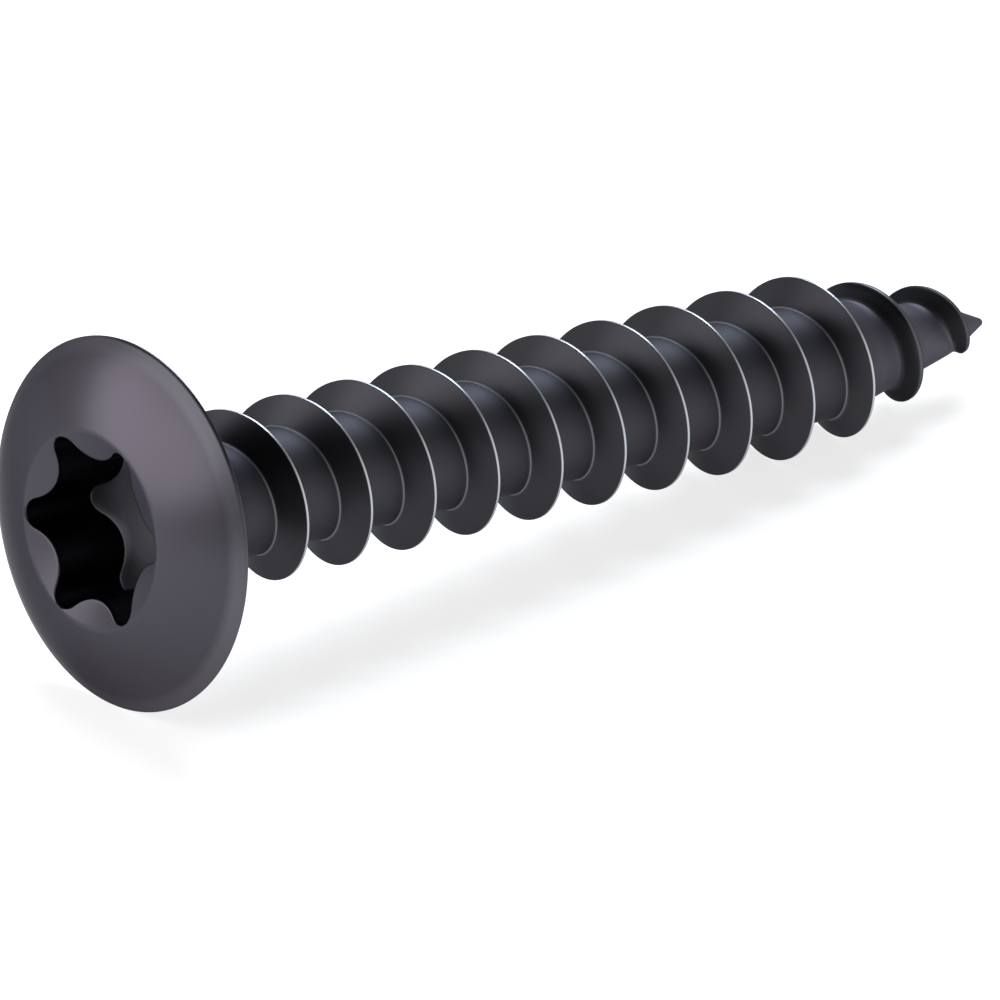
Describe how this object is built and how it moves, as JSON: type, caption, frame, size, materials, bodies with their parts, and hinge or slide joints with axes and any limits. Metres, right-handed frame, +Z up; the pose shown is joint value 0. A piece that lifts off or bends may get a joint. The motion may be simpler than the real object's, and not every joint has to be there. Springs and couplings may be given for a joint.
{
  "type": "hinge screw",
  "caption": "Hinge screw with a wide, low domed head, a star recess, a countersunk seat and a coarse, deep wood thread that runs to a sharp point.",
  "frame": {"origin": "on the surface the screw lies on, under the middle of its bounding box", "axes": "+Z up, +X along the screw from its head towards its point, whose axis hangs 6.64 degrees below level"},
  "size_m": [0.033, 0.0106, 0.0105],
  "materials": {
    "dark_coated_steel": "satin, dark grey metallic coating with bright worn thread edges"
  },
  "bodies": {
    "root": {"hinge_screw": "dark_coated_steel"}
  },
  "joints": []
}
